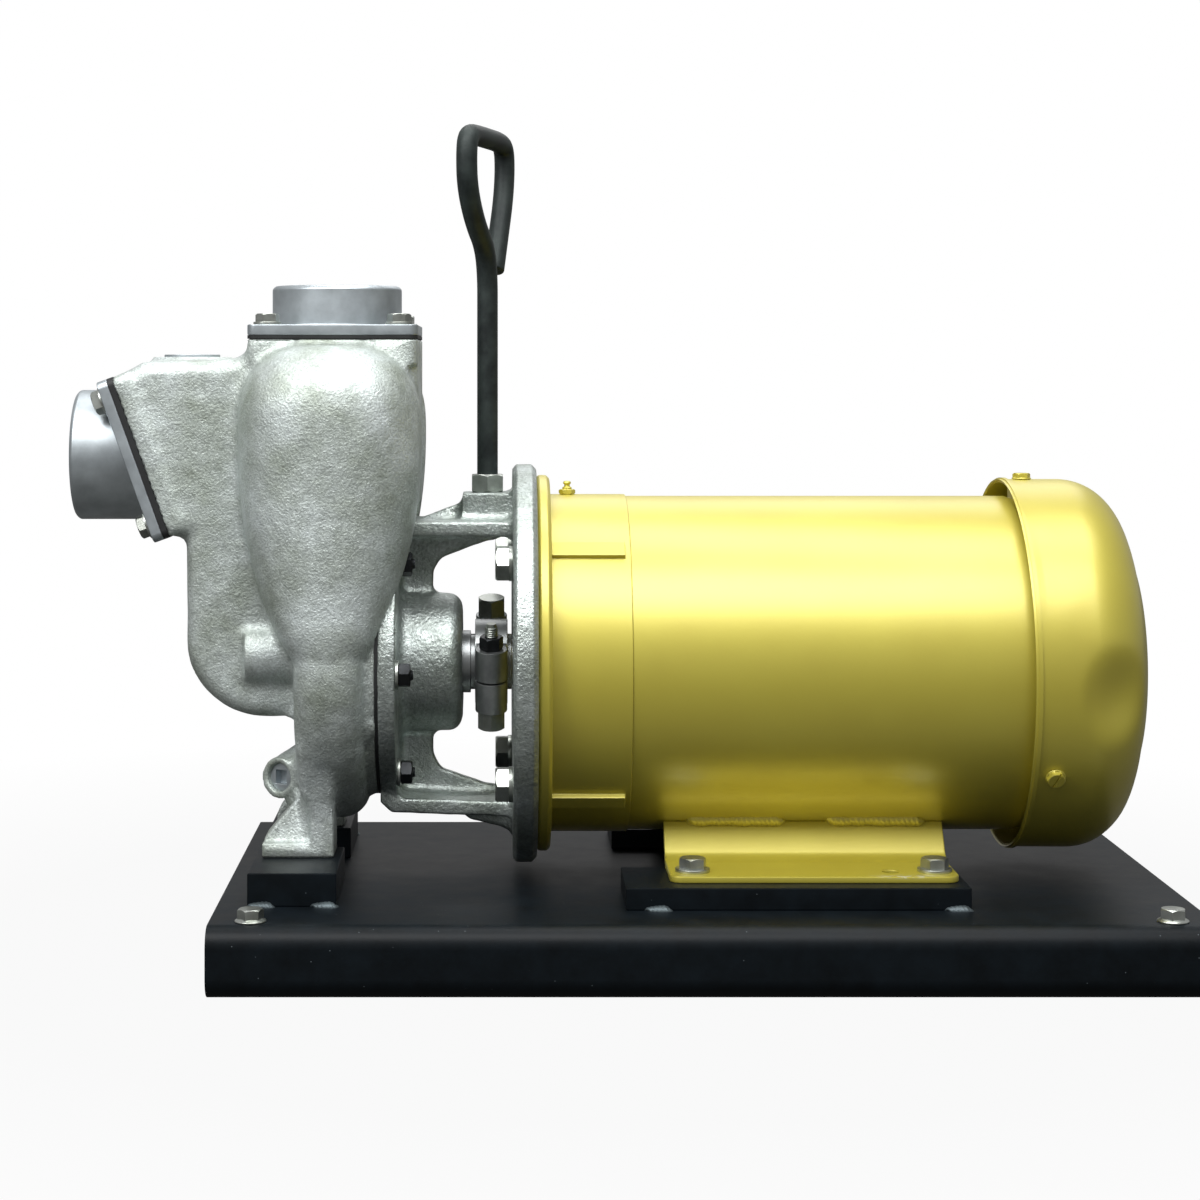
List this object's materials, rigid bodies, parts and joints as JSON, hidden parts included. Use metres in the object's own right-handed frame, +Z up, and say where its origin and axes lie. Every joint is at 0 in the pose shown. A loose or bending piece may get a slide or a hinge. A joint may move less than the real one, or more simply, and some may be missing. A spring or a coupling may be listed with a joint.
{
  "type": "centrifugal pump",
  "caption": "Close-coupled self-priming stainless centrifugal pump with slanted suction flange, top discharge, lifting handle and C-face motor on a formed steel base.",
  "frame": {"origin": "centre of the bounding box on the floor that the base stands on", "axes": "+X along the shaft from the pump to the fan end, +Y to the far side with the conduit box, +Z up"},
  "size_m": [0.6554, 0.343, 0.4943],
  "materials": {
    "cast_stainless": "bead-blasted stainless casting",
    "machined_stainless": "machined stainless",
    "bright_fastener": "bright bolts and washers",
    "dark_fastener": "dark oiled nuts and studs",
    "machined_steel": "turned steel",
    "black_rubber": "black rubber sheet",
    "seal_ring": "carbon and ceramic seal faces",
    "black_handle": "black oxide rod",
    "gold_paint": "satin gold metallic paint",
    "core_steel": "laminated steel",
    "copper": "varnished copper windings",
    "fan_plastic": "moulded plastic",
    "black_base": "satin black paint"
  },
  "bodies": {
    "frame": {"pump_casing": "cast_stainless", "bracket": "cast_stainless", "discharge_flange": "machined_stainless", "suction_flange": "machined_stainless", "fill_plug": "machined_stainless", "drain_plug": "machined_stainless", "discharge_bolts": "bright_fastener", "discharge_washers": "bright_fastener", "suction_bolts": "bright_fastener", "suction_washers": "bright_fastener", "bracket_bolts": "bright_fastener", "bracket_washers": "bright_fastener", "casing_washers": "bright_fastener", "motor_foot_bolts": "bright_fastener", "motor_foot_washers": "bright_fastener", "base_bolts": "bright_fastener", "pump_foot_bolts": "bright_fastener", "conduit_screws": "bright_fastener", "handle_nut": "bright_fastener", "casing_nuts": "dark_fastener", "casing_studs": "dark_fastener", "bearing_outer_rings": "machined_steel", "discharge_gasket": "black_rubber", "check_valve_gasket": "black_rubber", "casing_gasket": "black_rubber", "seal_seat": "seal_ring", "lifting_handle": "black_handle", "drive_endbell": "gold_paint", "stator_frame": "gold_paint", "rear_endbell": "gold_paint", "fan_cover": "gold_paint", "fan_cover_screws": "gold_paint", "motor_feet": "gold_paint", "conduit_box": "gold_paint", "conduit_cover": "gold_paint", "grease_fitting": "gold_paint", "stator_core": "core_steel", "stator_windings": "copper", "base_channel": "black_base", "motor_pads": "black_base", "pump_pads": "black_base"},
    "shaft_train": {"impeller": "machined_stainless", "impeller_nut": "bright_fastener", "impeller_washer": "bright_fastener", "stub_shaft": "machined_steel", "shaft_key": "machined_steel", "seal_head": "seal_ring", "seal_spring": "machined_steel", "clamp_upper": "machined_steel", "clamp_lower": "machined_steel", "clamp_bolts": "bright_fastener", "clamp_nuts": "dark_fastener", "motor_shaft": "machined_steel", "rotor": "core_steel", "bearing_inner_rings": "machined_steel", "bearing_balls": "machined_steel", "fan": "fan_plastic"},
    "check_valve": {"check_valve_flap": "black_rubber", "flap_weights": "bright_fastener", "flap_screw": "bright_fastener"}
  },
  "joints": [
    {"name": "shaft_spin", "type": "hinge", "parent": "frame", "child": "shaft_train", "pos_m": [-0.04693, 0, 0.167], "axis": [1, 0, 0], "continuous": true},
    {"name": "check_valve_swing", "type": "hinge", "parent": "frame", "child": "check_valve", "pos_m": [-0.29693, 0, 0.32721], "axis": [0, -1, 0], "range_deg": [0, 35]}
  ]
}
